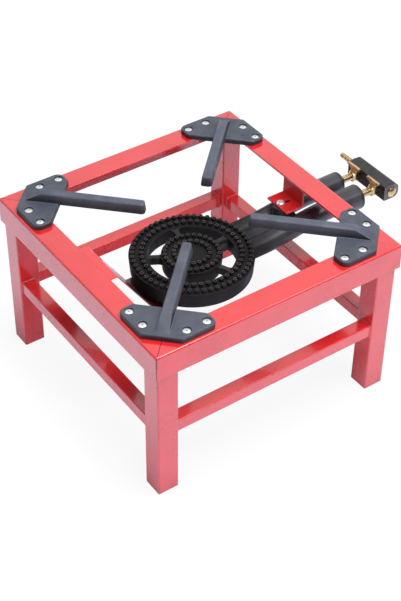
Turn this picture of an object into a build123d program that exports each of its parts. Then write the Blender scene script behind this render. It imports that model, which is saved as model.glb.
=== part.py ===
from build123d import *
import math
import os

# Cast iron gas burner on a square stool stand.
# Millimetres, +Z up. The taps are at the front, +X, so left is -Y and right is +Y.
# Pieces are drawn about the middle of the stand, and the whole part is then moved along X
# so that its origin is the bottom centre of the object's box.

# Stand
stand_width = 400.0
stand_height = 255.0
rail_flange = 35.0
rail_drop = 38.5
rail_wall = 3.0
rail_bend = 3.0
mitre_gap = 0.5
leg_side = 32.0
leg_gap = 1.0
leg_wall = 1.5
leg_corner = 2.0
stretcher_side = 20.0
stretcher_wall = 1.2
stretcher_corner = 1.5
stretcher_bottom = 101.0
stretcher_setback = 3.0

# Pot supports, in distances from the stand's outer corner
plate_wall = 8.0
plate_inset = 5.0
plate_corner_cut = 43.0
plate_margin = 10.0
plate_end_margin = 11.5
plate_bevel = 1.2
plate_end_round = 11.0
plate_inner_round = 6.0
plate_cut_round = 4.0
arm_root = 40.0
arm_ramp = 27.0
arm_length = 171.0
arm_rise = 14.0
arm_lift = 7.0
arm_root_width = 13.5
arm_tip_width = 12.5
arm_draft = 2.0
arm_bevel = 1.6
arm_tip_round = 5.0

# Blind rivets
rivet_inset = 17.0
rivet_near = 57.0
rivet_far = 88.0
rivet_radius = 2.4
rivet_head_radius = 5.3
rivet_head_height = 1.7
rivet_head_rim = 0.9
rivet_pin_radius = 1.4
rivet_pin_depth = 0.6
rivet_bulb_radius = 3.8
rivet_bulb_height = 5.0
recess_radius = 6.5
recess_depth = 2.6
hole_clearance = 0.1

# Burner casting
ring_x = -8.0
ring_drop = 54.5
ring_height = 25.0
ring_radius = 89.0
ring_band = 26.5
disc_gap = 19.0
ring_draft = 2.0
ring_round = 3.0
casting_wall = 4.5
spoke_count = 5
spoke_angle = 6.0
spoke_width = 7.0
spoke_drop = 1.5
spoke_height = 12.0
spoke_round = 7.0
duct_radius = 8.0
duct_wall = 2.5

# Flame ports: each row is a ring of raised nubs with a drilled hole
nub_radius = 3.5
nub_top_radius = 3.0
nub_height = 5.0
nub_sides = 8
port_radius = 1.6
port_sides = 6
outer_row_margin = 5.5
outer_row_count = 54
inner_row_margin = 8.0
inner_row_count = 44
disc_row_margin = 5.0
disc_row_step = 13.5
disc_outer_row_count = 28
disc_inner_row_count = 18

# Mixing tubes
tube_spacing = 44.0
tube_radius = 15.0
tube_wall = 3.5
tube_rise = 8.5
tube_root_drop = 3.5
tube_root_depth = 21.0
tube_straight = 9.0
tube_overhang = 69.0
bell_straight = 47.0
outer_bell_radius = 19.0
inner_bell_radius = 16.0
bell_length = 40.0
bell_round = 1.5
web_past_bracket = 1.5
web_height = 10.0
hub_radius = 7.6
hub_length = 10.0
window_count = 3
window_angle = 54.0

# Front bracket and back strap
bracket_wall = 2.5
bracket_width = 45.0
bracket_depth = 31.0
bracket_inset = 29.0
bracket_above_tubes = 9.0
bracket_bend = 3.5
bracket_slot_length = 20.0
screw_radius = 3.0
screw_head_radius = 6.0
screw_head_height = 3.6
screw_head_round = 1.8
screw_slot_width = 1.5
screw_slot_depth = 1.8
screw_grip = 16.0
screw_setback = 24.5
boss_radius = 11.0
strap_wall = 1.5
strap_width = 78.0
strap_bend = 2.0
strap_lip = 11.0
strap_shelf_back = 11.0
strap_shelf_front = 15.0
lug_radius = 8.5
lug_height = 8.5

# Gas train, along each mixing tube's axis
running_gap = 0.06
face_gap = 0.3
shutter_wall = 4.5
shutter_round = 1.2
spigot_radius = 5.0
spigot_reach = 12.0
tap_hex = 12.5
tap_hex_length = 7.0
tap_barrel_radius = 5.6
tap_bore = 2.5
plug_reach = 33.5
plug_boss_radius = 6.8
plug_boss_above = 0.6
plug_boss_below = 0.6
plug_top_radius = 4.7
plug_low_radius = 4.0
key_collar_radius = 5.8
key_collar = 1.2
key_width = 27.0
key_foot_width = 9.0
key_waist_width = 12.5
key_waist_rise = 5.0
key_height = 11.0
key_wall = 2.6
key_bead_radius = 1.9
washer_radius = 5.0
washer_wall = 0.8
tap_screw_hex = 6.5
tap_screw_head = 1.8
tap_screw_radius = 1.5
tap_screw_length = 4.0
jet_hex = 8.0
jet_hex_length = 4.5
jet_nose_length = 4.5
jet_nose_radius = 2.0
jet_bore = 1.2
jet_shank_radius = 2.4
jet_shank_length = 6.0
jet_orifice = 0.5
manifold_depth = 27.0
manifold_height = 24.0
manifold_length = 84.0
manifold_back_round = 9.0
manifold_edge_round = 1.5
manifold_bore = 5.5
manifold_gap = 0.3
thread_radius = 5.0
thread_length = 9.0
plug_dome_radius = 8.0
plug_dome_height = 4.5
plug_dome_rim = 1.5
plug_shank_length = 10.0
nipple_hex = 15.0
nipple_hex_length = 6.0
nipple_radius = 4.2
nipple_neck_radius = 3.5
nipple_length = 26.0
nipple_barbs = 4
nipple_land = 2.5
nipple_bore = 2.2

# Places worked out from the sizes above
half = stand_width / 2
rail_under = stand_height - rail_wall
leg_outer = half - rail_wall - leg_gap
leg_middle = leg_outer - leg_side / 2
plate_reach = rivet_far + plate_margin
plate_end = rivet_inset + plate_end_margin
ring_hole = ring_radius - ring_band
disc_radius = ring_hole - disc_gap
outer_row_radius = ring_radius - outer_row_margin
inner_row_radius = ring_hole + inner_row_margin
disc_outer_row_radius = disc_radius - disc_row_margin
disc_inner_row_radius = disc_outer_row_radius - disc_row_step
ring_top = stand_height - ring_drop
ring_bottom = ring_top - ring_height
ring_middle = ring_top - ring_height / 2
tube_z = ring_middle + tube_rise
tube_root_z = ring_middle - tube_root_drop
tube_root_x = ring_x + ring_radius - tube_root_depth
tube_bend_start = ring_x + ring_radius + tube_straight
tube_end = half + tube_overhang
tube_bend_end = tube_end - bell_straight
bracket_back = half - bracket_inset
bracket_flange_top = tube_z + tube_radius + bracket_above_tubes + bracket_wall
boss_top = bracket_flange_top - bracket_wall
screw_x = bracket_back - screw_setback
web_end = bracket_back + web_past_bracket
lug_x = ring_x - (ring_radius + ring_hole) / 2
strap_shelf_top = ring_bottom - lug_height
plug_x = tube_end + plug_reach
plug_boss_top = tap_barrel_radius + plug_boss_above
plug_boss_bottom = -tap_barrel_radius - plug_boss_below
shutter_x = tube_end + face_gap
shoulder_x = shutter_x + shutter_wall + face_gap
manifold_front = plug_x + plug_boss_radius + manifold_gap
manifold_back = manifold_front + manifold_depth
manifold_middle = manifold_front + manifold_depth / 2
box_shift = (half - manifold_back) / 2
side_y = {"left": -tube_spacing / 2, "right": tube_spacing / 2}
bell_radius = {"left": outer_bell_radius, "right": inner_bell_radius}

os.makedirs("parts", exist_ok=True)


def keep(name, *solids):
    """Move a finished piece, or a group of like pieces, into the part's frame and write it."""
    moved = [Pos(box_shift, 0, 0) * solid for solid in solids]
    shape = Compound(children=moved) if len(moved) > 1 else moved[0]
    export_step(shape, f"parts/{name}.step")


def near(shape, *points):
    """The vertices of a flat shape that lie at the given points."""
    found = [shape.vertices().sort_by_distance((x, y, 0))[0] for x, y in points]
    return ShapeList(found)


def upright(face):
    """Stand a face drawn in X and Z up in the plane Y = 0."""
    return Plane.XZ * face


def round_bar(radius, low_x, high_x):
    """Cylinder along X from low_x to high_x."""
    return Pos(low_x, 0, 0) * (Rot(0, 90, 0) * Cylinder(
        radius, high_x - low_x, align=(Align.CENTER, Align.CENTER, Align.MIN)))


def hex_bar(across_flats, low_x, high_x):
    """Hexagonal bar along X from low_x to high_x."""
    hexagon = RegularPolygon(across_flats / 2, 6, major_radius=False)
    return extrude(Plane(origin=(low_x, 0, 0), x_dir=(0, 1, 0), z_dir=(1, 0, 0)) * hexagon,
                   high_x - low_x)


def pillar(radius, low_z, high_z):
    """Cylinder along Z from low_z to high_z."""
    return Pos(0, 0, low_z) * Cylinder(
        radius, high_z - low_z, align=(Align.CENTER, Align.CENTER, Align.MIN))


def sheet_strip(path, wall, bend, width):
    """Bent sheet: the path in X and Z is its lower face, rounded at the bends."""
    lower_face = FilletPolyline(*path, radius=bend)
    outline = make_face(offset(lower_face, wall, side=Side.LEFT))
    return extrude(upright(outline), width / 2, both=True)


# Stand

def rivet_places():
    """Rivets of one corner, measured inwards from the outer corner."""
    on_one_rail = [(distance, rivet_inset) for distance in (rivet_near, rivet_far)]
    on_the_other = [(rivet_inset, distance) for distance in (rivet_near, rivet_far)]
    return on_one_rail + on_the_other


def top_rail():
    """The +X rail: an angle section, mitred at both corners, with its rivet holes."""
    section = make_face(Polyline(
        (half - rail_flange, stand_height), (half, stand_height), (half, stand_height - rail_drop),
        (half - rail_wall, stand_height - rail_drop), (half - rail_wall, rail_under),
        (half - rail_flange, rail_under), close=True))
    section = fillet(near(section, (half, stand_height)), rail_bend)
    bar = extrude(upright(section), half, both=True)
    seam = mitre_gap / math.sqrt(2)
    mitre = make_face(Polyline((seam, 0), (half, half - seam), (half, seam - half), close=True))
    rail = bar & extrude(mitre, stand_height)
    for distance in (rivet_near, rivet_far):
        for end in (-1, 1):
            place = Pos(half - rivet_inset, end * (half - distance), 0)
            rail -= place * pillar(rivet_radius + hole_clearance, rail_under, stand_height)
    return rail


def leg():
    """Square tube that stands in the corner of two rails, under their flanges."""
    outside = RectangleRounded(leg_side, leg_side, leg_corner)
    inner_side = leg_side - 2 * leg_wall
    inside = Rectangle(inner_side, inner_side)
    return Pos(leg_middle, leg_middle, 0) * extrude(outside - inside, rail_under)


def stretcher():
    """Smaller square tube between the two +X legs."""
    length = 2 * (leg_outer - leg_side)
    outside = RectangleRounded(stretcher_side, stretcher_side, stretcher_corner)
    inner_side = stretcher_side - 2 * stretcher_wall
    tube = extrude(Plane.XZ * (outside - Rectangle(inner_side, inner_side)), length / 2, both=True)
    middle = leg_outer - stretcher_setback - stretcher_side / 2
    return Pos(middle, 0, stretcher_bottom + stretcher_side / 2) * tube


# Pot supports

def arm():
    """Ramped arm along +X from its corner: drafted sides, a flat top and bevelled upper edges."""
    tip = arm_root + arm_length
    top = plate_wall + arm_rise
    foot = arm_draft + arm_root_width / 2
    tip_foot = arm_draft + arm_tip_width / 2
    plan = make_face(Polyline(
        (0, -foot), (tip, -tip_foot), (tip, tip_foot), (0, foot), close=True))
    plan = fillet(plan.vertices().sort_by(Axis.X)[-2:], arm_tip_round)
    taper = math.degrees(math.atan2(arm_draft, top - arm_lift))
    bar = extrude(Pos(0, 0, arm_lift) * plan, top - arm_lift, taper=taper)
    side_view = make_face(Polyline(
        (arm_root, arm_lift), (arm_root, plate_wall), (arm_root + arm_ramp, top),
        (tip, top), (tip, arm_lift), close=True))
    bar &= extrude(upright(side_view), arm_root_width, both=True)
    upper = bar.faces().sort_by(Axis.Z)[-1].edges()
    return chamfer(upper.sort_by(Axis.X)[1:], arm_bevel)


def pot_support():
    """Cast plate with a ramped arm, drawn inwards from its corner and set on the front right one."""
    outline = make_face(Polyline(
        (plate_inset, plate_corner_cut), (plate_inset, plate_reach), (plate_end, plate_reach),
        (plate_reach, plate_end), (plate_reach, plate_inset), (plate_corner_cut, plate_inset), close=True))
    ends = [(plate_inset, plate_reach), (plate_reach, plate_inset)]
    inner = [(plate_end, plate_reach), (plate_reach, plate_end)]
    cuts = [(plate_inset, plate_corner_cut), (plate_corner_cut, plate_inset)]
    outline = fillet(near(outline, *ends), plate_end_round)
    outline = fillet(near(outline, *inner), plate_inner_round)
    outline = fillet(near(outline, *cuts), plate_cut_round)
    plate = extrude(outline, plate_wall)
    plate = chamfer(plate.faces().sort_by(Axis.Z)[-1].edges(), plate_bevel)

    support = plate + Rot(0, 0, 45) * arm()
    for x, y in rivet_places():
        support -= Pos(x, y, 0) * pillar(recess_radius, plate_wall - recess_depth, plate_wall)
        support -= Pos(x, y, 0) * pillar(rivet_radius + hole_clearance, 0, plate_wall)
    return Pos(half, half, stand_height) * (Rot(0, 0, 180) * support)


def rivet():
    """Blind rivet: domed head with the pin's dimple, shank, and the bulb under the rail."""
    seat = plate_wall - recess_depth
    crown = seat + rivet_head_height
    rim = seat + rivet_head_rim
    spread = rivet_head_radius ** 2 - rivet_pin_radius ** 2
    dome_middle = (crown + rim) / 2 - spread / (2 * (crown - rim))
    dome_radius = math.hypot(rivet_head_radius, rim - dome_middle)
    half_way = (rivet_head_radius + rivet_pin_radius) / 2
    half_way_up = dome_middle + math.sqrt(dome_radius ** 2 - half_way ** 2)
    profile = make_face([
        Line((0, crown - rivet_pin_depth), (rivet_pin_radius, crown - rivet_pin_depth)),
        Line((rivet_pin_radius, crown - rivet_pin_depth), (rivet_pin_radius, crown)),
        ThreePointArc((rivet_pin_radius, crown), (half_way, half_way_up), (rivet_head_radius, rim)),
        Polyline((rivet_head_radius, rim), (rivet_head_radius, seat),
                 (rivet_radius, seat), (rivet_radius, -rail_wall), (rivet_bulb_radius, -rail_wall),
                 (rivet_bulb_radius, -rail_wall - rivet_bulb_height / 2),
                 (rivet_radius, -rail_wall - rivet_bulb_height), (0, -rail_wall - rivet_bulb_height),
                 (0, crown - rivet_pin_depth)),
    ])
    return revolve(upright(profile), Axis.Z)


def corner_rivets():
    """The four rivets of the front right corner."""
    return [Pos(half - x, half - y, stand_height) * rivet() for x, y in rivet_places()]


# Burner casting

def ring_section(outer, inner):
    """Half section of a drafted ring or disc, its lower edges rounded."""
    if inner:
        points = [(inner, ring_top), (outer, ring_top), (outer - ring_draft, ring_bottom),
                  (inner + ring_draft, ring_bottom)]
        lower = points[2:]
    else:
        points = [(0, ring_top), (outer, ring_top), (outer - ring_draft, ring_bottom), (0, ring_bottom)]
        lower = points[2:3]
    section = make_face(Polyline(*points, close=True))
    return fillet(near(section, *lower), ring_round)


def chamber(outer, inner):
    """Gas space inside the ring or the disc."""
    low = ring_bottom + casting_wall
    high = ring_top - casting_wall
    section = make_face(Polyline((inner, low), (outer, low), (outer, high), (inner, high), close=True))
    return revolve(upright(section), Axis.Z)


def port_rows():
    """Radius and number of ports of each row."""
    return [(outer_row_radius, outer_row_count), (inner_row_radius, inner_row_count),
            (disc_outer_row_radius, disc_outer_row_count), (disc_inner_row_radius, disc_inner_row_count)]


def nubs():
    """Raised port nubs of all rows, each a many-sided cone that stands on the top face."""
    cone = loft([RegularPolygon(nub_radius, nub_sides),
                 Pos(0, 0, nub_height) * RegularPolygon(nub_top_radius, nub_sides)], ruled=True)
    return [place * cone for radius, count in port_rows() for place in PolarLocations(radius, count)]


def port_holes():
    """Drilled holes of all rows, from the nub tops down into the gas space."""
    hole = RegularPolygon(port_radius, port_sides)
    depth = nub_height + casting_wall
    cutter = extrude(hole, depth)
    return [place * Pos(0, 0, -casting_wall) * cutter
            for radius, count in port_rows() for place in PolarLocations(radius, count)]


def tube_path(start):
    """Axis of a mixing tube in X and Z: level at the ring, then rising to the level of the taps."""
    run = Line((start, tube_root_z), (tube_bend_start, tube_root_z))
    rise = Spline((tube_bend_start, tube_root_z), (tube_bend_end, tube_z),
                  tangents=((1, 0), (1, 0)))
    level = Line((tube_bend_end, tube_z), (tube_end, tube_z))
    return Plane.XZ * Wire([run, rise, level])


def tube(radius, start):
    """Round bar swept along a mixing tube's axis."""
    disc = Plane(origin=(start, 0, tube_root_z), x_dir=(0, 1, 0), z_dir=(1, 0, 0)) * Circle(radius)
    return sweep(disc, path=tube_path(start))


def air_windows(low_x, high_x):
    """Sector-shaped air windows between the hub and the tube's bore, cut along X."""
    outer = tube_radius - tube_wall
    spread = outer * math.tan(math.radians(window_angle / 2))
    wedge = make_face(Polyline((0, 0), (outer, spread), (outer, -spread), close=True))
    sector = wedge & (Circle(outer) - Circle(hub_radius))
    across = Plane(origin=(low_x, 0, 0), x_dir=(0, 1, 0), z_dir=(1, 0, 0))
    cut = extrude(across * sector, high_x - low_x)
    return [Rot(360 / window_count * turn, 0, 0) * cut for turn in range(window_count)]


def tube_web():
    """Web that joins the two mixing tubes as far as the front rail."""
    low = tube_root_z - web_height / 2
    rise = (tube_z - tube_root_z) * (web_end - tube_bend_start) / (tube_bend_end - tube_bend_start)
    outline = make_face(Polyline(
        (tube_root_x, low), (tube_bend_start, low), (web_end, low + rise),
        (web_end, low + rise + web_height), (tube_bend_start, low + web_height),
        (tube_root_x, low + web_height), close=True))
    return extrude(upright(outline), tube_spacing / 2, both=True)


def spokes():
    """Spokes between the disc and the ring, widened by a fillet at both ends."""
    turns = [Rot(0, 0, spoke_angle + 360 / spoke_count * turn) for turn in range(spoke_count)]
    hub = disc_radius - ring_draft
    rim = ring_hole + ring_draft
    plan = turns[0] * (Circle(rim + casting_wall) - Circle(rim)) + turns[0] * Circle(hub)
    bar = Pos((hub + rim) / 2, 0) * Rectangle(rim - hub + casting_wall, spoke_width)
    plan += [turn * bar for turn in turns]
    inside = rim + casting_wall / 2
    corners = [corner for corner in plan.vertices() if math.hypot(corner.X, corner.Y) < inside]
    plan = fillet(corners, spoke_round)
    return Pos(0, 0, ring_top - spoke_drop - spoke_height) * extrude(plan, spoke_height)


def burner_casting():
    """Ring and disc with their ports, spokes, gas duct, lugs and the two mixing tubes."""
    centre = Pos(ring_x, 0, 0)
    bore = tube_radius - tube_wall
    body = revolve(upright(ring_section(ring_radius, ring_hole)), Axis.Z)
    disc = revolve(upright(ring_section(disc_radius, 0)), Axis.Z)
    duct_end = (tube_bend_start - ring_x) / math.cos(math.radians(spoke_angle))
    duct_turn = Rot(0, 0, spoke_angle) * Pos(0, 0, tube_root_z)
    duct = duct_turn * round_bar(duct_radius, disc_radius - casting_wall, duct_end)
    duct_bore = duct_turn * round_bar(duct_radius - duct_wall, disc_radius - 2 * casting_wall, duct_end)
    body = centre * (body + [disc, duct, spokes()])

    tubes = []
    for side, y in side_y.items():
        bell = round_bar(bell_radius[side], tube_end - bell_length, tube_end)
        bell = fillet(bell.faces().sort_by(Axis.X)[0].edges(), bell_round)
        tubes += [Pos(0, y, 0) * tube(tube_radius, tube_root_x), Pos(0, y, tube_z) * bell]
    boss = Pos(screw_x, 0, 0) * pillar(boss_radius, tube_z - web_height, boss_top)
    lug = Pos(lug_x, 0, 0) * pillar(lug_radius, strap_shelf_top, ring_middle)
    body = body + tubes + [tube_web(), boss, lug]

    body -= [centre * chamber(ring_radius - ring_draft - casting_wall, ring_hole + ring_draft + casting_wall),
             centre * chamber(disc_radius - ring_draft - casting_wall, 0)]
    body += centre * duct
    body -= centre * duct_bore
    starts = {"left": tube_root_x, "right": tube_bend_start - casting_wall}
    for side, y in side_y.items():
        body -= Pos(0, y, 0) * tube(bore, starts[side])
        hub = round_bar(tube_radius - tube_wall / 2, tube_end - hub_length, tube_end)
        body += Pos(0, y, tube_z) * hub
        body -= [Pos(0, y, tube_z) * cut for cut in air_windows(tube_end - hub_length, tube_end)]
        body -= Pos(0, y, tube_z) * round_bar(spigot_radius + running_gap, tube_end - hub_length, tube_end)
    tapped = screw_radius + hole_clearance
    body -= Pos(screw_x, 0, 0) * pillar(tapped, bracket_flange_top - screw_grip, boss_top)
    body -= Pos(lug_x, 0, 0) * pillar(tapped, strap_shelf_top, strap_shelf_top - strap_wall + screw_grip)

    top = Pos(ring_x, 0, ring_top)
    body += [top * nub for nub in nubs()]
    body -= [top * hole for hole in port_holes()]
    return body


# Brackets that hold the burner in the stand

def front_bracket():
    """Bent angle under the front rail, slotted for the screw into the casting's boss."""
    inner = bracket_back - bracket_depth
    low = boss_top
    bracket = sheet_strip([(bracket_back, rail_under), (bracket_back, low), (inner, low)][::-1],
                          bracket_wall, bracket_bend, bracket_width)
    slot = SlotOverall(bracket_slot_length, 2 * (screw_radius + hole_clearance))
    middle = screw_x + bracket_slot_length / 2 - screw_radius - hole_clearance
    return bracket - Pos(middle, 0, low) * extrude(slot, bracket_wall)


def back_strap():
    """Bent strap from the inner edge of the back rail, down to a shelf below the burner ring."""
    lip_start = rail_flange - half
    lip_low = stand_height - strap_wall
    shelf_low = strap_shelf_top - strap_wall
    path = [(lip_start, lip_low), (lip_start + strap_lip, lip_low),
            (lug_x - strap_shelf_back, shelf_low), (lug_x + strap_shelf_front, shelf_low)]
    strap = sheet_strip(path, strap_wall, strap_bend, strap_width)
    hole = pillar(screw_radius + hole_clearance, shelf_low, strap_shelf_top)
    return strap - Pos(lug_x, 0, 0) * hole


def pan_screw():
    """Pan-head screw: the head's underside is at the origin and the shank goes down."""
    head = pillar(screw_head_radius, 0, screw_head_height)
    head = fillet(head.faces().sort_by(Axis.Z)[-1].edges(), screw_head_round)
    slot = Pos(0, 0, screw_head_height) * Box(
        2 * screw_head_radius, screw_slot_width, screw_slot_depth,
        align=(Align.CENTER, Align.CENTER, Align.MAX))
    return head - slot + pillar(screw_radius, -screw_grip, 0)


# Gas train, drawn with the mixing tube's axis on Y = 0, Z = 0

def air_shutter(side):
    """Disc that turns on the tap's spigot and covers or frees the air windows of one tube."""
    disc = round_bar(bell_radius[side], shutter_x, shutter_x + shutter_wall)
    disc = fillet(disc.faces().sort_by(Axis.X)[-1].edges(), shutter_round)
    disc -= round_bar(spigot_radius + running_gap, shutter_x, shutter_x + shutter_wall)
    return disc - air_windows(shutter_x, shutter_x + shutter_wall)


def plug_cone(gap):
    """Taper of the tap's plug, or of its seat when gap is not zero."""
    height = plug_boss_top - plug_boss_bottom
    return Pos(plug_x, 0, plug_boss_bottom) * Cone(
        plug_low_radius + gap, plug_top_radius + gap, height,
        align=(Align.CENTER, Align.CENTER, Align.MIN))


def tap_body():
    """Brass tap: spigot through the shutter into the hub, hexagon, barrel, plug seat, thread."""
    spigot_end = tube_end - spigot_reach
    thread_end = manifold_front + thread_length
    body = round_bar(spigot_radius, spigot_end, shoulder_x)
    body += hex_bar(tap_hex, shoulder_x, shoulder_x + tap_hex_length)
    body += round_bar(tap_barrel_radius, shoulder_x + tap_hex_length, manifold_front)
    boss = Pos(plug_x, 0, 0) * pillar(plug_boss_radius, plug_boss_bottom, plug_boss_top)
    body += chamfer(boss.edges().filter_by(GeomType.CIRCLE), plug_boss_radius - key_collar_radius)
    body += round_bar(thread_radius, manifold_front, thread_end)
    body -= round_bar(tap_bore, spigot_end, thread_end)
    body -= round_bar(jet_shank_radius + running_gap, spigot_end, spigot_end + jet_shank_length)
    return body - plug_cone(running_gap)


def tap_key():
    """Plug and fan-shaped key, one brass casting, shown closed: the fan lies across the tube."""
    collar_low = plug_boss_top + face_gap
    fan_low = collar_low + key_collar
    fan_top = fan_low + key_height
    foot = key_foot_width / 2
    waist = key_waist_width / 2
    waist_z = fan_low + key_waist_rise
    wide = key_width / 2
    key = plug_cone(0)
    key += Pos(plug_x, 0, 0) * pillar(plug_top_radius, plug_boss_top, collar_low)
    key += Pos(plug_x, 0, 0) * pillar(key_collar_radius, collar_low, fan_low)
    bead_middle = fan_top - key_bead_radius
    fan = make_face([
        Line((-foot, fan_low), (foot, fan_low)),
        ThreePointArc((foot, fan_low), (waist, waist_z), (wide, bead_middle)),
        Line((wide, bead_middle), (-wide, bead_middle)),
        ThreePointArc((-wide, bead_middle), (-waist, waist_z), (-foot, fan_low)),
    ])
    key += Pos(plug_x, 0, 0) * extrude(Plane.YZ * fan, key_wall / 2, both=True)
    bead = SlotOverall(key_width, 2 * key_bead_radius)
    key += Pos(plug_x, 0, bead_middle) * extrude(Plane.YZ * bead, key_bead_radius, both=True)
    key -= Pos(plug_x, 0, 0) * (Rot(0, 0, 90) * round_bar(tap_bore, -plug_boss_radius, plug_boss_radius))
    pilot = tap_screw_length - washer_wall - face_gap
    return key - Pos(plug_x, 0, 0) * pillar(
        tap_screw_radius + running_gap, plug_boss_bottom, plug_boss_bottom + pilot)


def tap_washer():
    """Washer under the tap, turning with the plug."""
    low = plug_boss_bottom - face_gap - washer_wall
    ring = pillar(washer_radius, low, low + washer_wall)
    return Pos(plug_x, 0, 0) * (ring - pillar(tap_screw_radius + running_gap, low, low + washer_wall))


def tap_screw():
    """Hexagon screw that draws the plug down into its taper."""
    top = plug_boss_bottom - face_gap - washer_wall
    head = extrude(Pos(0, 0, top - tap_screw_head) * RegularPolygon(
        tap_screw_hex / 2, 6, major_radius=False), tap_screw_head)
    return Pos(plug_x, 0, 0) * (head + pillar(tap_screw_radius, top, top + tap_screw_length))


def jet():
    """Gas jet screwed into the spigot's end, inside the mixing tube."""
    seat = tube_end - spigot_reach
    nose_start = seat - jet_hex_length
    nose = Rot(0, -90, 0) * Cone(jet_hex / 2, jet_nose_radius, jet_nose_length,
                                 align=(Align.CENTER, Align.CENTER, Align.MIN))
    body = hex_bar(jet_hex, nose_start, seat) + Pos(nose_start, 0, 0) * nose
    body += round_bar(jet_shank_radius, seat, seat + jet_shank_length)
    body -= round_bar(jet_orifice, nose_start - jet_nose_length, seat + jet_shank_length)
    return body - round_bar(jet_bore, nose_start, seat + jet_shank_length)


def along_y(shape):
    """Turn a piece drawn along X so that it points along +Y on the manifold's axis."""
    return Pos(manifold_middle, 0, tube_z) * (Rot(0, 0, 90) * shape)


def gas_manifold():
    """Bar with a flat face for the taps and a rounded back, bored along and drilled for the taps."""
    bar = Pos(manifold_middle, 0, tube_z) * Box(manifold_depth, manifold_length, manifold_height)
    long_edges = bar.edges().filter_by(Axis.Y).sort_by(Axis.X)
    bar = fillet(long_edges[2:], manifold_back_round)
    long_edges = bar.edges().filter_by(Axis.Y).sort_by(Axis.X)
    bar = fillet(long_edges[:2], manifold_edge_round)
    bar -= along_y(round_bar(manifold_bore, -manifold_length / 2, manifold_length / 2))
    for y in side_y.values():
        bar -= Pos(0, y, tube_z) * round_bar(thread_radius + running_gap, manifold_front, manifold_middle)
    return bar


def manifold_plug():
    """Domed brass plug that closes the manifold's left end."""
    dome_height = plug_dome_height - plug_dome_rim
    sphere = (plug_dome_radius ** 2 + dome_height ** 2) / (2 * dome_height)
    head = round_bar(plug_dome_radius, -plug_dome_rim, 0)
    cap = Pos(sphere - plug_dome_height, 0, 0) * Sphere(sphere)
    dome = cap & round_bar(plug_dome_radius, -plug_dome_height, -plug_dome_rim)
    shank = round_bar(manifold_bore - running_gap, 0, plug_shank_length)
    return Pos(0, -manifold_length / 2, 0) * along_y(head + dome + shank)


def hose_nipple():
    """Brass hose nipple in the manifold's right end: hexagon, barbed stem and bore."""
    stem_start = nipple_hex_length
    pitch = nipple_length / nipple_barbs
    nipple = round_bar(manifold_bore - running_gap, -plug_shank_length, 0)
    nipple += hex_bar(nipple_hex, 0, nipple_hex_length)
    for barb in range(nipple_barbs):
        start = stem_start + barb * pitch
        cone = Rot(0, 90, 0) * Cone(nipple_radius, nipple_neck_radius, pitch - nipple_land,
                                    align=(Align.CENTER, Align.CENTER, Align.MIN))
        nipple += round_bar(nipple_radius, start, start + nipple_land)
        nipple += Pos(start + nipple_land, 0, 0) * cone
    nipple -= round_bar(nipple_bore, -plug_shank_length, stem_start + nipple_length)
    return Pos(0, manifold_length / 2, 0) * along_y(nipple)


# Write every piece

sides = ["front", "right", "back", "left"]
for step, side in enumerate(sides):
    turn = Rot(0, 0, 360 * step / len(sides))
    keep(f"rail_{side}", turn * top_rail())
    keep(f"stretcher_{side}", turn * stretcher())

corners = ["front_right", "back_right", "back_left", "front_left"]
rivets = []
for step, corner in enumerate(corners):
    turn = Rot(0, 0, 360 * step / len(corners))
    keep(f"leg_{corner}", turn * leg())
    keep(f"pot_support_{corner}", turn * pot_support())
    rivets += [turn * one for one in corner_rivets()]
keep("pot_support_rivets", *rivets)

keep("burner_casting", burner_casting())
keep("front_bracket", front_bracket())
keep("back_strap", back_strap())
keep("bracket_screw", Pos(screw_x, 0, bracket_flange_top) * pan_screw())
keep("strap_screw", Pos(lug_x, 0, strap_shelf_top - strap_wall) * (Rot(180, 0, 0) * pan_screw()))

for side, y in side_y.items():
    place = Pos(0, y, tube_z)
    keep(f"air_shutter_{side}", place * air_shutter(side))
    keep(f"tap_body_{side}", place * tap_body())
    keep(f"tap_key_{side}", place * tap_key())
    keep(f"tap_washer_{side}", place * tap_washer())
    keep(f"tap_screw_{side}", place * tap_screw())
    keep(f"jet_{side}", place * jet())

keep("gas_manifold", gas_manifold())
keep("manifold_plug", manifold_plug())
keep("hose_nipple", hose_nipple())
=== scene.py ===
# %% [markdown]
# A gas burner for a market stall: a red angle-iron stool, four cast pot supports, and a double-ring cast
# iron burner fed through two brass taps. The solid model gives every piece its place, so this lesson adds
# the studio, the camera, the finishes, round skins for the ports, the ends of the rivet pins and the welds.
# Blender works in metres, but parts like these are drawn in millimetres, so one small value turns the one
# into the other.

# %% Load the solid model
import math

import bmesh
import bpy
import numpy as np
from mathutils import Matrix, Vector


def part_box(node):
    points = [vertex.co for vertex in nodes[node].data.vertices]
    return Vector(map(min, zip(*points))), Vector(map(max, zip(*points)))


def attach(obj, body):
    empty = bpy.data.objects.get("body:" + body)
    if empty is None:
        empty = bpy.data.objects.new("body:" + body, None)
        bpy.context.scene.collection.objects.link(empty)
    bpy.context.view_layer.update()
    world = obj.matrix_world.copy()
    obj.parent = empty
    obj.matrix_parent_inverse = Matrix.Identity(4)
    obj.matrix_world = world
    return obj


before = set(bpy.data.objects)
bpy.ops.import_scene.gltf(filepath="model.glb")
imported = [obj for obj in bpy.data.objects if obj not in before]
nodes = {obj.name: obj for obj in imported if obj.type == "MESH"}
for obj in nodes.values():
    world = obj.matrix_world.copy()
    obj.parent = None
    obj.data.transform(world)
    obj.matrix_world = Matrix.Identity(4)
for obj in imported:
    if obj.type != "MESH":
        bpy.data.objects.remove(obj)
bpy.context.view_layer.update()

mm = 0.001

# %% [markdown]
# The object stands on the origin with its front, where the taps are, towards +X. The stand is square, and
# its middle isn't the origin, because the taps reach out of it. Both could be typed in, but the solid model
# knows them: the middle lies between the front and back rails, and half the length of these rails is the
# half width. Their mitred ends stop a third of a millimetre short of the corners.

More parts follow.
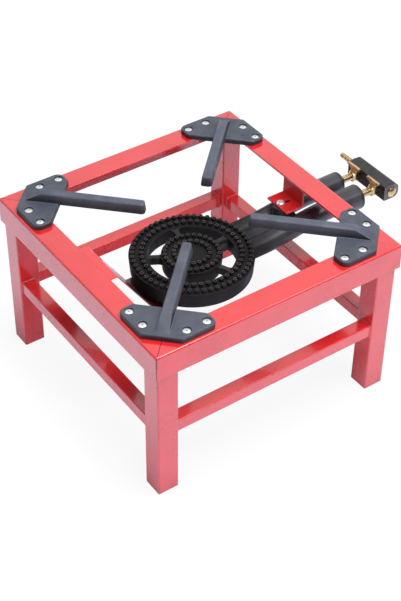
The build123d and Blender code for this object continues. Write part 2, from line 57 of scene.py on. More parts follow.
# %% Find the middle of the stand
stand_low = np.array(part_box("rail_back")[0])
stand_high = np.array(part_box("rail_front")[1])
stand_middle = (stand_low + stand_high) / 2
stand_half = (stand_high[1] - stand_low[1]) / 2
stand_top = stand_high[2]
print("stand middle", np.round(stand_middle / mm, 2), "half width", round(stand_half / mm, 1), "mm")

# %% [markdown]
# The camera looks down on the corner at the back left, from a little over two metres, through a long lens.
# A look-at constraint would do, but the small roll of a hand-held shot is easier to give as three axes:
# right, up and back, which are the columns of the camera's matrix.

# %% Set the camera
camera_turn = math.radians(-35.42)
camera_height = math.radians(40.89)
camera_roll = math.radians(0.73)
camera_distance = 2.0473
camera_aim_height = 0.1
camera_aim_right = 6.49 * mm
camera_aim_up = 8.0 * mm
focal_pixels = 1414.0
image_height = 601
film_height = 36.0


def view_axes(turn, height, roll=0.0):
    """Right, up and back of something that looks at the stand: turned about Z, raised, then rolled."""
    level_back = np.array([math.sin(turn), -math.cos(turn), 0.0])
    back = math.cos(height) * level_back + np.array([0.0, 0.0, math.sin(height)])
    level_right = np.array([math.cos(turn), math.sin(turn), 0.0])
    right = math.cos(roll) * level_right + math.sin(roll) * np.cross(back, level_right)
    return right, np.cross(back, right), back


def placed(axes, place):
    """Matrix of an object with these three axes as its columns, standing at a place."""
    matrix = np.eye(4)
    matrix[:3, :3] = np.column_stack(axes)
    matrix[:3, 3] = place
    return Matrix(matrix.tolist())


right, up, back = view_axes(camera_turn, camera_height, camera_roll)
aim = np.array([*stand_middle[:2], camera_aim_height]) + camera_aim_right * right + camera_aim_up * up
camera = bpy.data.objects.new("camera", bpy.data.cameras.new("camera"))
camera.data.sensor_fit = "VERTICAL"
camera.data.sensor_height = film_height
camera.data.lens = focal_pixels / image_height * film_height
camera.matrix_world = placed((right, up, back), aim + camera_distance * back)
scene = bpy.context.scene
scene.collection.objects.link(camera)
scene.camera = camera
print("camera at", np.round(aim + camera_distance * back, 3), "lens", round(camera.data.lens, 2), "mm")

# %% [markdown]
# A product shot on white has a big soft light overhead, and a small one that puts a glint on the brass. A
# sun lamp would throw hard shadows, so both are square area lamps, turned by the same axes as the camera.

# %% Hang the lamps
scene.view_settings.view_transform = "Standard"
lamp_distance = 2.3
key_direction = np.array([0.05, -0.30, 0.95])
key_size = 1.4
key_power = 54.0
glint_direction = np.array([0.44, -0.45, 0.75])
glint_size = 0.6
glint_power = 6.0


def soft_light(name, place, size, power):
    """A square lamp at a place, turned to face the camera's aim."""
    lamp = bpy.data.lights.new(name, "AREA")
    lamp.size = size
    lamp.energy = power
    light = bpy.data.objects.new(name, lamp)
    away = np.array(place) - aim
    turn = math.atan2(away[0], -away[1])
    height = math.atan2(away[2], math.hypot(away[0], away[1]))
    light.matrix_world = placed(view_axes(turn, height), place)
    scene.collection.objects.link(light)
    print(name, "light at", np.round(place, 2), "size", size, "power", power)


soft_light("key", aim + lamp_distance * key_direction, key_size, key_power)
soft_light("glint", aim + lamp_distance * glint_direction, glint_size, glint_power)

# %% [markdown]
# More light would wash out the red, so the room is white only to the camera. Reflections see a white wall
# behind the object and a dark room behind the camera, which is what gives gloss paint its streaks, and the
# light that falls on the object from the room stays low. All of this is a few values that go from one level
# to another, so the first helpers are such a ramp and a step of arithmetic.

# %% Paint the room
sky_light = 0.21
dark_wall = 0.10
white_wall = 1.0
wall_turns_dark = -0.10
wall_turns_white = 0.50
white = (1.0, 1.0, 1.0)


def feed(tree, socket, value):
    """Give an input a plain value, or link another node's output to it. A colour gets an alpha of 1."""
    if isinstance(value, bpy.types.NodeSocket):
        tree.links.new(value, socket)
    else:
        socket.default_value = (*value, 1.0) if socket.type == "RGBA" else value


def ramp(tree, value, start, end, low=0.0, high=1.0):
    """A value that goes evenly from low to high while the input goes from start to end, and no further."""
    step = tree.nodes.new("ShaderNodeMapRange")
    limits = {"Value": value, "From Min": start, "From Max": end, "To Min": low, "To Max": high}
    for label, given in limits.items():
        feed(tree, step.inputs[label], given)
    return step.outputs["Result"]


def between(tree, mask, low, high):
    """A value that is low where a mask is 0 and high where it is 1."""
    return ramp(tree, mask, 0.0, 1.0, low, high)


def worked_out(tree, kind, operation, *given):
    """The outputs of one step of arithmetic: a Math or a VectorMath node, with its inputs given in order."""
    node = tree.nodes.new("ShaderNode" + kind)
    node.operation = operation
    for socket, value in zip(node.inputs, given):
        feed(tree, socket, value)
    return node.outputs


world = bpy.data.worlds.new("studio")
world.use_nodes = True
scene.world = world
room = world.node_tree
sky = room.nodes["Background"]
direction = room.nodes.new("ShaderNodeTexCoord").outputs["Generated"]
behind_object = (-math.sin(camera_turn), math.cos(camera_turn), 0.0)
facing = worked_out(room, "VectorMath", "DOT_PRODUCT", direction, behind_object)["Value"]
wall = ramp(room, facing, wall_turns_dark, wall_turns_white, dark_wall, white_wall)
room_rays = room.nodes.new("ShaderNodeLightPath").outputs
room_light = between(room, room_rays["Is Glossy Ray"], sky_light, wall)
feed(room, sky.inputs["Color"], white)
feed(room, sky.inputs["Strength"], between(room, room_rays["Is Camera Ray"], room_light, white_wall))
print("room: light", sky_light, "walls", dark_wall, "to", white_wall)

# %% [markdown]
# The floor under the feet could be one plane, but a wide disc of rings has no corner to show, and it is the
# simplest case of what every new surface in this lesson is: a grid of points, with rows along one parameter
# and columns along the other, worked out as one array. The faces of a grid are always the same four
# neighbours, so one helper joins them. It closes the columns into a ring, and takes many copies of the same
# grid at once. Where a row shrinks to a pole, or a path comes back to its start, points lie on each other, so
# each mesh has its doubles merged.

# %% Lay the floor
merge_reach = 0.001 * mm
floor_radius = 9.0
floor_rings = 12
floor_steps = 64


def grid_faces(rows, columns, copies=1):
    """Quads of a grid: each joins a point, its next column, and the same two in the next row."""
    row, column = np.meshgrid(np.arange(rows - 1), np.arange(columns), indexing="ij")
    after = (column + 1) % columns
    one = np.stack([row * columns + column, row * columns + after,
                    (row + 1) * columns + after, (row + 1) * columns + column], axis=-1).reshape(-1, 4)
    shift = np.arange(copies)[:, None, None] * rows * columns
    return (one[None] + shift).reshape(-1, 4)


def make_piece(name, points, faces, marks=()):
    """A smooth mesh at the origin, from points in metres and faces. Marks name a number for each point."""
    mesh = bpy.data.meshes.new(name)
    mesh.from_pydata(points.reshape(-1, 3), [], faces.tolist())
    for label, values in marks:
        mark = mesh.attributes.new(label, "FLOAT", "POINT")
        mark.data.foreach_set("value", values.astype(np.float32).ravel())
    shell = bmesh.new()
    shell.from_mesh(mesh)
    bmesh.ops.remove_doubles(shell, verts=shell.verts, dist=merge_reach)
    shell.to_mesh(mesh)
    shell.free()
    mesh.polygons.foreach_set("use_smooth", np.full(len(mesh.polygons), True))
    mesh.update()
    piece = bpy.data.objects.new(name, mesh)
    scene.collection.objects.link(piece)
    print(name, len(mesh.vertices), "points", len(mesh.polygons), "faces")
    return piece


ring_radius, ring_angle = np.meshgrid(
    np.linspace(1.0, 0.0, floor_rings) ** 2 * floor_radius,
    np.linspace(0.0, 2 * np.pi, floor_steps, endpoint=False), indexing="ij")
floor_points = np.stack([ring_radius * np.cos(ring_angle), ring_radius * np.sin(ring_angle),
                         np.zeros_like(ring_radius)], axis=-1)
floor = make_piece("floor", floor_points, grid_faces(floor_rings, floor_steps))

# %% [markdown]
# The paper on the floor could be lit until it is white, but that much light would fade the stand. So most of
# what the camera sees of it is plain white, and the rest is its lit surface, so that a trace of the stand's
# soft shadow stays. Reflections see the lit paper with its whole shadow, a little blue as white paper is out
# of the lamp's light. Away from the stand's square the paper also glows a little, as paper does that runs on
# to windows and lamps outside the picture.

# %% Paper the floor
paper_colour = (0.78, 0.82, 0.95)
paper_roughness = 0.9
paper_gloss = 0.1
white_share = 0.90
shadow_reach = 0.19
open_reach = 0.27
open_colour = (0.86, 0.91, 1.0)
open_gloss = 0.2
open_light = 0.61

paper = bpy.data.materials.new("white_paper")
paper.use_nodes = True
sheet = paper.node_tree
lit = sheet.nodes["Principled BSDF"]
feed(sheet, lit.inputs["Base Color"], paper_colour)
feed(sheet, lit.inputs["Roughness"], paper_roughness)
feed(sheet, lit.inputs["Specular IOR Level"], paper_gloss)
sheet_rays = sheet.nodes.new("ShaderNodeLightPath").outputs
sheet_place = sheet.nodes.new("ShaderNodeTexCoord").outputs["Object"]
from_middle = worked_out(sheet, "VectorMath", "SUBTRACT", sheet_place, (*stand_middle[:2], 0.0))["Vector"]
apart = sheet.nodes.new("ShaderNodeSeparateXYZ")
feed(sheet, apart.inputs[0], worked_out(sheet, "VectorMath", "ABSOLUTE", from_middle)["Vector"])
reach = worked_out(sheet, "Math", "MAXIMUM", apart.outputs["X"], apart.outputs["Y"])["Value"]
open_glow = between(sheet, sheet_rays["Is Glossy Ray"], open_light, open_gloss)
glow = sheet.nodes.new("ShaderNodeEmission")
feed(sheet, glow.inputs["Color"], open_colour)
feed(sheet, glow.inputs["Strength"], ramp(sheet, reach, shadow_reach, open_reach, 0.0, open_glow))
glowing = sheet.nodes.new("ShaderNodeAddShader")
feed(sheet, glowing.inputs[0], lit.outputs[0])
feed(sheet, glowing.inputs[1], glow.outputs[0])
as_seen = sheet.nodes.new("ShaderNodeMixShader")
feed(sheet, as_seen.inputs["Fac"], between(sheet, sheet_rays["Is Camera Ray"], 0.0, white_share))
feed(sheet, as_seen.inputs[1], glowing.outputs[0])
feed(sheet, as_seen.inputs[2], sheet.nodes.new("ShaderNodeEmission").outputs[0])
feed(sheet, sheet.nodes["Material Output"].inputs["Surface"], as_seen.outputs[0])
floor.data.materials.append(paper)
print("floor paper", paper_colour, "with", white_share, "of plain white to the camera")

# %% [markdown]
# No edge on painted or cast metal is sharp: paint and polish round it, and rubbing brightens it. Rounds could
# be cut into every mesh, but the solid model stays as it is here. The Bevel node finds nearby edges instead,
# and gives a normal that is rounded over them. Where that normal leaves the flat one, there is an edge, which
# makes a mask for a paler edge colour as well: wear, and on the dark castings, the gas bar and the front
# bracket also a painted highlight. By the cosine of the angle between the two, it starts where they differ a
# little and is full where they differ a lot. All the finishes share this group.

# %% Share one group for edges
usual_radius = 0.8 * mm
bevel_samples = 6
edge_starts = 0.99
edge_full = 0.80


def new_group(name, inputs, outputs):
    """A shader node group with named sockets, whose inputs are numbers or vectors, and its two ends."""
    group = bpy.data.node_groups.new(name, "ShaderNodeTree")
    for label, value in inputs:
        kind = "NodeSocketVector" if isinstance(value, tuple) else "NodeSocketFloat"
        socket = group.interface.new_socket(name=label, in_out="INPUT", socket_type=kind)
        socket.default_value = value
    for label, kind in outputs:
        group.interface.new_socket(name=label, in_out="OUTPUT", socket_type=kind)
    return group, group.nodes.new("NodeGroupInput").outputs, group.nodes.new("NodeGroupOutput").inputs


edges, edges_in, edges_out = new_group(
    "rounded_edges", [("Radius", usual_radius)], [("Normal", "NodeSocketVector"), ("Edge", "NodeSocketFloat")])
round_over = edges.nodes.new("ShaderNodeBevel")
round_over.samples = bevel_samples
rounded = round_over.outputs["Normal"]
flat = edges.nodes.new("ShaderNodeNewGeometry").outputs["Normal"]
agree = worked_out(edges, "VectorMath", "DOT_PRODUCT", rounded, flat)["Value"]
feed(edges, round_over.inputs["Radius"], edges_in["Radius"])
feed(edges, edges_out["Normal"], rounded)
feed(edges, edges_out["Edge"], ramp(edges, agree, edge_starts, edge_full))
print("group", edges.name)

# %% [markdown]
# Sand-cast iron has a fine grain, sprayed paint has an orange-peel skin, and drawn brass has faint clouds.
# Pictures of them would have to be laid out on each piece, but all three are noise at two scales: a fine one
# for height and a coarse one for patches of tone. The second group gives both, measured on the object itself
# so that they stay put when a tap turns. Noise keeps close to its middle, so each one is stretched between a
# low and a high level.

# %% Share one group for grain
usual_fine = 900.0
usual_patches = 30.0
# Each noise: the input that scales it, its output, how fine its detail goes, and its low and high level.
grain_noises = (("Fine", "Height", 4.0, 0.25, 0.75), ("Patches", "Patch", 3.0, 0.32, 0.68))

grain, grain_in, grain_out = new_group(
    "grain_and_patches", [("Fine", usual_fine), ("Patches", usual_patches)],
    [("Height", "NodeSocketFloat"), ("Patch", "NodeSocketFloat")])
grain_place = grain.nodes.new("ShaderNodeTexCoord").outputs["Object"]
for scale, result, detail, low, high in grain_noises:
    noise = grain.nodes.new("ShaderNodeTexNoise")
    feed(grain, noise.inputs["Vector"], grain_place)
    feed(grain, noise.inputs["Scale"], grain_in[scale])
    feed(grain, noise.inputs["Detail"], detail)
    feed(grain, grain_out[result], ramp(grain, noise.outputs["Fac"], low, high))
print("group", grain.name)

# %% [markdown]
# Each finish is one Principled shader fed by the two groups: a main colour, a second colour in patches, fine
# specks of it from the grain, a third colour on the edges, roughness that follows the patches, and a bump
# from the grain over the rounded normal. A finish may have more layers of colour under the patches, each put
# on by a mask, and a mask can also say where a clear coat lies. Numbers that are the same all over sit on the
# shader itself. Each finish could have its own tree of nodes, but one recipe keeps them alike. The first is
# the plainest: the bright zinc plate on the stand's rivets and screws.

# %% Mix a finish, and plate the fasteners
# A Mix node keeps its two colours and their blend at these places among its sockets.
colour_first, colour_second, colour_result = 6, 7, 2
finishes = {}


def blend_colour(tree, mask, first, second):
    """A colour that goes from the first to the second where the mask is 1. The first may be a socket."""
    mix = tree.nodes.new("ShaderNodeMix")
    mix.data_type = "RGBA"
    feed(tree, mix.inputs["Factor"], mask)
    feed(tree, mix.inputs[colour_first], first)
    feed(tree, mix.inputs[colour_second], second)
    return mix.outputs[colour_result]


def put_group(tree, group, values):
    """The outputs of a group that is placed in a material with its own values."""
    node = tree.nodes.new("ShaderNodeGroup")
    node.node_tree = group
    for label, value in values.items():
        feed(tree, node.inputs[label], value)
    return node.outputs


def mix_finish(name, colour, patch, edge, roughness, fine, patches, depth, radius,
               metallic=0.0, specks=0.3, patch_share=1.0, edge_share=0.5, layers=(), coat=None, plain=()):
    """A finish: colour, patches, specks, edges worn and on some a painted highlight, roughness low to high, a
    grain bump.
    """
    material = bpy.data.materials.new(name)
    material.use_nodes = True
    tree = material.node_tree
    shader = tree.nodes["Principled BSDF"]
    for socket, value in (("Metallic", metallic), *plain):
        feed(tree, shader.inputs[socket], value)
    edge_of = put_group(tree, edges, {"Radius": radius})
    grain_of = put_group(tree, grain, {"Fine": fine, "Patches": patches})

    tone = colour
    for mask, settings, layer_colour in layers:
        tone = blend_colour(tree, mask(tree, *settings), tone, layer_colour)
    for mask, share, over in ((grain_of["Patch"], patch_share, patch), (grain_of["Height"], specks, patch),
                              (edge_of["Edge"], edge_share, edge)):
        tone = blend_colour(tree, between(tree, mask, 0.0, share), tone, over)
    feed(tree, shader.inputs["Base Color"], tone)
    feed(tree, shader.inputs["Roughness"], between(tree, grain_of["Patch"], *roughness))
    if coat:
        coat_mask, coat_settings = coat
        feed(tree, shader.inputs["Coat Weight"], coat_mask(tree, *coat_settings))
    bump = tree.nodes.new("ShaderNodeBump")
    feed(tree, bump.inputs["Distance"], depth)
    feed(tree, bump.inputs["Height"], grain_of["Height"])
    feed(tree, bump.inputs["Normal"], edge_of["Normal"])
    feed(tree, shader.inputs["Normal"], bump.outputs["Normal"])
    finishes[name] = material
    print("finish", name)


mix_finish(
    "zinc", colour=(0.86, 0.87, 0.88), patch=(0.74, 0.76, 0.78), edge=(0.92, 0.93, 0.94),
    roughness=(0.40, 0.52), fine=1500.0, patches=160.0, depth=0.02 * mm, radius=0.3 * mm,
    metallic=1.0, specks=0.2, edge_share=0.4)

# %% [markdown]
# The stand is sprayed with a bright red gloss paint, with a clear skin that mirrors the room. A weld closes
# only the lower half of each rail corner, and the shade in the open seam above it is painted on as a thin dark
# line. The line could be drawn on a map of each rail, but all four corners are equally far from the stand's
# middle, so the mask of a band round an upright axis finds them at once. The burner's spokes need a band too,
# so it is a group.

# %% Paint the stand
gloss_skin = (("Coat Weight", 1.0), ("Coat Roughness", 0.10), ("Coat IOR", 1.55), ("Specular IOR Level", 0.7))
red, deep_red, rubbed_red = (0.78, 0.020, 0.026), (0.67, 0.013, 0.018), (0.86, 0.050, 0.055)
# painted shade: the thin dark line of the open seam above each corner weld
seam_shade_colour = (0.14, 0.008, 0.008)
seam_depth = 1.1 * mm
seam_spare = 10 * mm
seam_soft = 0.3 * mm
seam_from, seam_gone = 240 * mm, 236 * mm
no_height = (1.0, 1.0, 0.0)

band, band_in, band_out = new_group(
    "band_round_axis", [("Centre", (0.0, 0.0, 0.0)), ("Inner", 0.0), ("Outer", 0.0), ("Soft", 0.0)],
    [("Mask", "NodeSocketFloat")])
band_place = band.nodes.new("ShaderNodeTexCoord").outputs["Object"]
band_level = worked_out(band, "VectorMath", "MULTIPLY", band_place, no_height)["Vector"]
distance = worked_out(band, "VectorMath", "DISTANCE", band_level, band_in["Centre"])["Value"]
inner_limits, outer_limits = (
    [worked_out(band, "Math", operation, band_in[limit], band_in["Soft"])["Value"]
     for operation in ("SUBTRACT", "ADD")] for limit in ("Inner", "Outer"))
feed(band, band_out["Mask"], ramp(band, distance, *outer_limits, ramp(band, distance, *inner_limits), 0.0))
print("group", band.name)


def around(tree, centre, inner, outer, soft):
    """Mask that is 1 between two distances from an upright axis, with soft limits."""
    limits = {"Centre": (*centre, 0.0), "Inner": inner, "Outer": outer, "Soft": soft}
    return put_group(tree, band, limits)["Mask"]


def around_above(tree, centre, inner, outer, soft, start, end):
    """The mask of a band round an axis, but only above a height: it goes to 0 from start down to end."""
    parts = tree.nodes.new("ShaderNodeSeparateXYZ")
    feed(tree, parts.inputs[0], tree.nodes.new("ShaderNodeTexCoord").outputs["Object"])
    return ramp(tree, parts.outputs["Z"], start, end, around(tree, centre, inner, outer, soft), 0.0)


corner_reach = math.sqrt(2.0) * stand_half
# where the painted seam shade lies: a thin band at each outer corner, only above the weld
seam_shade_band = (stand_middle[:2], corner_reach - seam_depth, corner_reach + seam_spare, seam_soft,
              seam_from, seam_gone)
mix_finish(
    "red_paint", colour=red, patch=deep_red, edge=rubbed_red,
    roughness=(0.20, 0.30), fine=500.0, patches=22.0, depth=0.004 * mm, radius=1.8 * mm,
    specks=0.35, edge_share=0.3, layers=[(around_above, seam_shade_band, seam_shade_colour)], plain=gloss_skin)

# %% [markdown]
# The lower end of the strap lies under the burner ring, so its shade is painted on: the red darkens towards
# that end. The front bracket under the front rail has a thin clear skin; its darker red is painted shade, and
# its paler edges are a painted highlight. Two meshes could split the strap where the painted shade begins, but
# a soft mask along one direction fades it in. More finishes need one, so this is a group as well.

# %% Paint shade on the strap and the bracket
upright, frontward, sideward = (0.0, 0.0, 1.0), (1.0, 0.0, 0.0), (0.0, 1.0, 0.0)
# painted shade: the strap goes dark towards its lower end, under the burner ring
strap_shade_colour = (0.030, 0.006, 0.006)
strap_shade_from, strap_shade_full = 250 * mm, 220 * mm
# painted shade: a darker red for the bracket under the front rail; painted highlight: its paler edge colour
bracket_shade_red, bracket_shade_deep_red, bracket_highlight_red = (0.56, 0.008, 0.009), (0.46, 0.006, 0.007), (0.86, 0.16, 0.16)
dulled_skin = (("Coat Weight", 0.15), ("Coat Roughness", 0.2))

rise, rise_in, rise_out = new_group(
    "rise_along", [("Direction", upright), ("Start", 0.0), ("End", 1.0)], [("Mask", "NodeSocketFloat")])
rise_place = rise.nodes.new("ShaderNodeTexCoord").outputs["Object"]
how_far = worked_out(rise, "VectorMath", "DOT_PRODUCT", rise_place, rise_in["Direction"])["Value"]
feed(rise, rise_out["Mask"], ramp(rise, how_far, rise_in["Start"], rise_in["End"]))
print("group", rise.name)


def along(tree, direction, start, end):
    """Mask that rises from 0 to 1 between two places on the object along one direction."""
    return put_group(tree, rise, {"Direction": direction, "Start": start, "End": end})["Mask"]


# the strap's red paint, with painted shade towards its lower end
mix_finish(
    "shaded_strap_paint", colour=red, patch=deep_red, edge=rubbed_red,
    roughness=(0.25, 0.40), fine=700.0, patches=22.0, depth=0.02 * mm, radius=1.0 * mm,
    specks=0.1, patch_share=0.1, edge_share=0.1,
    layers=[(along, (upright, strap_shade_from, strap_shade_full), strap_shade_colour)], plain=gloss_skin)
mix_finish(
    # the bracket's paint: darker red as painted shade, pale edges as a painted highlight
    "shaded_bracket_paint", colour=bracket_shade_red, patch=bracket_shade_deep_red, edge=bracket_highlight_red,
    roughness=(0.34, 0.48), fine=700.0, patches=30.0, depth=0.02 * mm, radius=1.4 * mm,
    specks=0.3, edge_share=0.5, plain=dulled_skin)

# %% [markdown]
# The pot supports are slate-grey satin enamel on rough castings. Faces that look up are painted paler, as a
# painted stand-in for the light from above. It could be picked face by face, but how far a face turns up is in
# its normal, so one more group makes a mask of that, for all the dark castings. The tops of the arms, where
# pots rub, are paler still, partly from wear and partly as a painted sheen.

# %% Enamel the pot supports
looks_up = (0.60, 0.95)
arm_top_wear_and_sheen_from, arm_top_wear_and_sheen_full = 266 * mm, 276.5 * mm

up_facing, up_facing_in, up_facing_out = new_group("facing_up", [("Start", 0.0), ("End", 1.0)], [("Mask", "NodeSocketFloat")])
up_facing_normal = up_facing.nodes.new("ShaderNodeNewGeometry").outputs["Normal"]
turned_up = worked_out(up_facing, "VectorMath", "DOT_PRODUCT", up_facing_normal, upright)["Value"]
feed(up_facing, up_facing_out["Mask"], ramp(up_facing, turned_up, up_facing_in["Start"], up_facing_in["End"]))
print("group", up_facing.name)


def upward(tree, start, end):
    """Mask that rises from 0 to 1 as the face turns up, from one upward share of its normal to another."""
    return put_group(tree, up_facing, {"Start": start, "End": end})["Mask"]


mix_finish(
    # the pale edge colour is wear and a painted highlight
    "grey_enamel", colour=(0.028, 0.029, 0.038), patch=(0.021, 0.022, 0.028), edge=(0.30, 0.33, 0.39),
    roughness=(0.42, 0.58), fine=650.0, patches=45.0, depth=0.10 * mm, radius=1.2 * mm,
    specks=0.25, patch_share=0.4, edge_share=0.7,
    # painted light: faces that look up are paler, as if lit from above
    layers=[(upward, looks_up, (0.086, 0.098, 0.138)),
            # the arm tops: paler from rubbing by pots, and from a painted sheen
            (along, (upright, arm_top_wear_and_sheen_from, arm_top_wear_and_sheen_full), (0.112, 0.126, 0.176))])

# %% [markdown]
# The burner is blackened iron: sooty on the ring, greyer on the spokes, and satin black with a thin clear coat
# along the mixing tubes. The air shutters past the tubes are of the same iron, as black as the ring. All of
# this could be painted by hand, but masks measured from the ring's middle and along the tubes keep it exact.

# %% Blacken the burner
matt_skin = (("Specular IOR Level", 0.14),)
ring_shift = np.array([-8.0, 0.0]) * mm
spokes_inner, spokes_outer, spokes_soft = 46 * mm, 62 * mm, 1.0 * mm
tubes_from, tubes_full = 76 * mm, 170 * mm
shutter_gap = 0.2 * mm

ring_centre = stand_middle[:2] + ring_shift
tube_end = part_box("burner_casting")[1][0]
on_spokes = (ring_centre, spokes_inner, spokes_outer, spokes_soft)
on_tubes = (frontward, ring_centre[0] + tubes_from, ring_centre[0] + tubes_full)
past_tubes = (frontward, tube_end, tube_end + shutter_gap)
mix_finish(
    # the pale edge colour is wear and a painted highlight
    "black_iron", colour=(0.0185, 0.0205, 0.0230), patch=(0.0100, 0.0100, 0.0120), edge=(0.062, 0.058, 0.062),
    roughness=(0.48, 0.66), fine=520.0, patches=38.0, depth=0.16 * mm, radius=1.1 * mm,
    specks=0.3, patch_share=0.7, edge_share=0.6,
    layers=[(upward, looks_up, (0.0110, 0.0100, 0.0125)), (around, on_spokes, (0.050, 0.050, 0.056)),
            (along, on_tubes, (0.051, 0.051, 0.066)), (along, past_tubes, (0.012, 0.012, 0.014))],
    coat=(along, on_tubes), plain=matt_skin + (("Coat Roughness", 0.32),))

# %% [markdown]
# The gas bar is painted black, and the metal shows grey where it was cut to length, at both ends. A second
# material on the end faces would do, but the bar's mesh belongs to the solid model, so two masks along the bar
# find them. The taps, the plug and the hose nipple are brass, turned bright and a little clouded by handling.

# %% Finish the gas bar and the brass
bare_metal = (0.19, 0.18, 0.20)
cut_from, cut_full = 0.4 * mm, 0.2 * mm

bar_low, bar_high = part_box("gas_manifold")
near_cut = (sideward, bar_low[1] + cut_from, bar_low[1] + cut_full)
far_cut = (sideward, bar_high[1] - cut_from, bar_high[1] - cut_full)
mix_finish(
    # the pale edge colour is wear and a painted highlight
    "black_paint", colour=(0.008, 0.0075, 0.0085), patch=(0.005, 0.005, 0.006), edge=(0.20, 0.20, 0.22),
    roughness=(0.36, 0.50), fine=500.0, patches=110.0, depth=0.12 * mm, radius=1.2 * mm,
    specks=0.4, patch_share=0.5, edge_share=0.6,
    # painted light: the bar's top is paler, as if lit from above
    layers=[(upward, looks_up, (0.046, 0.046, 0.050)), (along, near_cut, bare_metal),
            (along, far_cut, bare_metal)],
    plain=(("Specular IOR Level", 0.32),))
mix_finish(
    "brass", colour=(0.80, 0.62, 0.35), patch=(0.50, 0.33, 0.15), edge=(0.96, 0.86, 0.62),
    roughness=(0.24, 0.36), fine=1100.0, patches=170.0, depth=0.012 * mm, radius=0.5 * mm,
    metallic=1.0, specks=0.25, edge_share=0.5)

# %% [markdown]
# Each piece could be given its finish by hand, but the solid model already says which material slot it takes,
# so the slot's name is enough. Only the strap and the bracket differ from the rest of the red paint.

# %% Give every piece its finish
finish_of = {name: piece.data.materials[0].name.split(".")[0] for name, piece in nodes.items()}
finish_of["back_strap"] = "shaded_strap_paint"
finish_of["front_bracket"] = "shaded_bracket_paint"
for name, piece in nodes.items():
    piece.data.materials[0] = finishes[finish_of[name]]
print({finish: list(finish_of.values()).count(finish) for finish in finishes})

# %% [markdown]
# The burner's 144 ports are small raised cones, each drilled from above. The solid model has them with eight
# flat sides, which is enough for a drawing, so each gets a round turned skin here: one profile, from the foot
# over the rim and down into the hole, is spun about every port's axis. It starts and ends on that axis, so
# the skin is closed. The rows of ports are circles. The rim is bare drilled iron with a painted highlight on
# it, and the hole is painted black as painted shade, so each point also keeps how much it is rim and how much
# hole, and a mask reads that.

# %% Turn the ports
port_rows = ((83.5, 54), (70.5, 44), (38.5, 28), (25.0, 18))
port_base = 200.5 * mm
port_profile = np.array([
    (0.0, -0.3), (3.74, -0.3), (3.72, -0.1), (3.26, 4.2), (3.02, 5.04), (2.62, 5.30), (2.06, 5.26),
    (1.62, 5.02), (1.36, 4.5), (1.32, 2.4), (0.0, 2.4)]) * mm
# rim: bare drilled iron, made paler still by a painted highlight
port_rim_bare_and_highlight = np.array([0.0, 0.0, 0.0, 0.0, 0.2, 0.6, 1.0, 1.0, 0.3, 0.0, 0.0])
# hole: painted shade, nearly black
port_hole_shade = np.array([0.0, 0.0, 0.0, 0.0, 0.0, 0.0, 0.0, 0.3, 1.0, 1.0, 1.0])
port_sides = 12


def row_places(radius, count):
    """Points of one row of ports: evenly spaced on a circle about the burner's middle."""
    angle = np.arange(count) * 2 * np.pi / count
    return ring_centre + radius * mm * np.stack([np.cos(angle), np.sin(angle)], axis=-1)


def spun(profile, sides, places, base):
    """Points of turned forms: a profile of radius and height spun about an upright axis at each place."""
    angle = np.arange(sides) * 2 * np.pi / sides
    circle = np.stack([np.cos(angle), np.sin(angle)], axis=-1)
    points = np.zeros((len(places), len(profile), sides, 3))
    points[..., :2] = places[:, None, None, :] + profile[None, :, None, :1] * circle[None, None, :, :]
    points[..., 2] = base + profile[None, :, None, 1]
    return points


def marked(tree, label):
    """Mask from a named attribute of the mesh."""
    named = tree.nodes.new("ShaderNodeAttribute")
    named.attribute_name = label
    return named.outputs["Fac"]


port_places = np.concatenate([row_places(radius, count) for radius, count in port_rows])
port_points = spun(port_profile, port_sides, port_places, port_base)
port_faces = grid_faces(len(port_profile), port_sides, len(port_places))
port_marks = [(label, np.broadcast_to(share[None, :, None], port_points.shape[:3]))
              for label, share in (("rim", port_rim_bare_and_highlight), ("hole", port_hole_shade))]
ports = make_piece("port_skins", port_points, port_faces, port_marks)
mix_finish(
    "drilled_iron", colour=(0.012, 0.011, 0.012), patch=(0.008, 0.007, 0.008), edge=(0.012, 0.011, 0.012),
    roughness=(0.45, 0.60), fine=900.0, patches=60.0, depth=0.05 * mm, radius=0.2 * mm,
    specks=0.2, patch_share=0.5, edge_share=0.0,
    # a pale rim of bare iron and painted highlight, and a black hole of painted shade
    layers=[(marked, ("rim",), (0.110, 0.098, 0.088)), (marked, ("hole",), (0.003, 0.003, 0.003))],
    plain=matt_skin)
ports.data.materials.append(finishes["drilled_iron"])
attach(ports, "stand")

# %% [markdown]
# A blind rivet is pulled tight by a pin that then breaks off inside its head, so each of the sixteen heads has
# a grey dot in its dimple. A rivet could be one mesh with two materials, but the head is a solid already, so
# only the broken end is added: a low dome, spun from a short profile. The four rivets of one corner, measured
# in from the half width, are turned by quarters to the other corners.

# %% Break off the rivet pins
rivet_insets = np.array([(17.0, 57.0), (17.0, 88.0), (57.0, 17.0), (88.0, 17.0)]) * mm
rivet_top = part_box("pot_support_rivets")[1][2]
pin_profile = np.array([
    (0.0, -0.80), (1.36, -0.80), (1.34, -0.62), (1.10, -0.46), (0.60, -0.38), (0.0, -0.36)]) * mm
pin_sides = 10
quarter_turns = np.array([
    [(1, 0), (0, 1)], [(0, -1), (1, 0)], [(-1, 0), (0, -1)], [(0, 1), (-1, 0)]])

corner_places = np.einsum("cij,rj->cri", quarter_turns, stand_half - rivet_insets)
pin_places = stand_middle[:2] + corner_places.reshape(-1, 2)
pin_points = spun(pin_profile, pin_sides, pin_places, rivet_top)
pins = make_piece("rivet_pins", pin_points, grid_faces(len(pin_profile), pin_sides, len(pin_places)))
mix_finish(
    "pin_steel", colour=(0.34, 0.35, 0.37), patch=(0.26, 0.27, 0.29), edge=(0.46, 0.47, 0.49),
    roughness=(0.40, 0.55), fine=1500.0, patches=300.0, depth=0.02 * mm, radius=0.2 * mm,
    metallic=1.0, edge_share=0.2)
pins.data.materials.append(finishes["pin_steel"])
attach(pins, "stand")

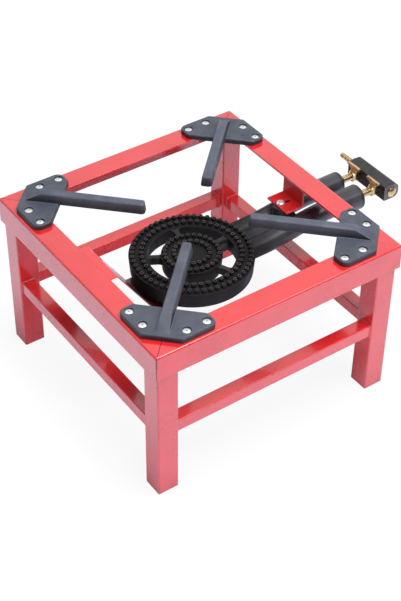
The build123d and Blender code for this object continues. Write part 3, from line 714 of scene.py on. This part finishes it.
# %% [markdown]
# The stand is welded. A bead runs round each end of every stretcher, where it meets a leg. A bevelled curve
# could make it, but a circle swept along a path as one array is easier to shape: here the path is a square, and
# the radius goes up and down as it runs, with the small swells that the welder's puddles left.

# %% Run the beads round the stretchers
bead_sides = 8
loop_steps = 96
loop_radius = 1.5 * mm
puddle_pitch = 3.0 * mm
puddle_swell = 0.16


def swept_bead(path, out, ahead, radius):
    """Points of beads: at each point of a path, a circle that goes from out towards ahead crossed with out."""
    angle = np.arange(bead_sides) * 2 * np.pi / bead_sides
    side = np.cross(ahead, out)
    circle = np.cos(angle)[:, None] * out[..., None, :] + np.sin(angle)[:, None] * side[..., None, :]
    return path[..., None, :] + radius[..., None, None] * circle


def puddles(length, steps):
    """Radius along a bead: 1 with a small swell for each puddle, by a cosine of whole waves."""
    return 1.0 + puddle_swell * np.cos(np.linspace(0.0, 2 * np.pi * round(length / puddle_pitch), steps))


def stretcher_loops(name):
    """Paths round the two ends of a stretcher: a circle pushed out to a square, and its directions."""
    low, high = np.array(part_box(name))
    lengthwise = int(np.argmax((high - low)[:2]))
    across = 1 - lengthwise
    turn = np.linspace(0.0, 2 * np.pi, loop_steps)
    out, ahead = np.zeros((2, 2, loop_steps, 3))
    out[..., across], out[..., 2] = np.cos(turn), np.sin(turn)
    ahead[..., across], ahead[..., 2] = -np.sin(turn), np.cos(turn)
    square = out / np.abs(out).max(axis=-1, keepdims=True)
    path = (low + high) / 2 + square * (high - low) / 2
    path[0, :, lengthwise], path[1, :, lengthwise] = low[lengthwise], high[lengthwise]
    return path, out, ahead


loops = [stretcher_loops(f"stretcher_{side}") for side in ("front", "right", "back", "left")]
loop_path, loop_out, loop_ahead = (np.concatenate(group) for group in zip(*loops))
loop_length = 4 * np.ptp(loop_path[0, :, 2])
loop_points = swept_bead(loop_path, loop_out, loop_ahead, loop_radius * puddles(loop_length, loop_steps))
loop_faces = grid_faces(loop_steps, bead_sides, len(loop_points))
print(len(loop_points), "beads of", round(loop_length / mm, 1), "mm round the stretchers")

# %% [markdown]
# Another bead closes the lower half of the seam at each outer corner of the rails. It lies just inside the
# corner, so that it doesn't stand out of the stand's square, and its radius goes to nothing at both ends. All
# the beads are one piece, painted with the stand.

# %% Close the rail corners
seam_steps = 40
seam_radius = 1.25 * mm
taper_power = 0.25
corners = np.array([(-1.0, -1.0), (-1.0, 1.0), (1.0, -1.0), (1.0, 1.0)])

rail_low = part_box("rail_front")[0][2]
seam_high = (rail_low + stand_top) / 2
seam_path = np.zeros((len(corners), seam_steps, 3))
seam_path[..., :2] = (stand_middle[:2] + corners * (stand_half - seam_radius))[:, None]
seam_path[..., 2] = np.linspace(rail_low, seam_high, seam_steps)
seam_out, seam_ahead = np.zeros((2, *seam_path.shape))
seam_out[..., 0], seam_ahead[..., 2] = 1.0, 1.0
seam_taper = np.sin(np.linspace(0.0, np.pi, seam_steps)) ** taper_power
seam_swell = puddles(seam_high - rail_low, seam_steps) / (1.0 + puddle_swell)
seam_points = swept_bead(seam_path, seam_out, seam_ahead, seam_radius * seam_taper * seam_swell)
seam_faces = grid_faces(seam_steps, bead_sides, len(seam_points)) + loop_points.size // 3
welds = make_piece("weld_beads", np.concatenate([loop_points.reshape(-1, 3), seam_points.reshape(-1, 3)]),
                   np.concatenate([loop_faces, seam_faces]))
welds.data.materials.append(finishes["red_paint"])
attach(welds, "stand")
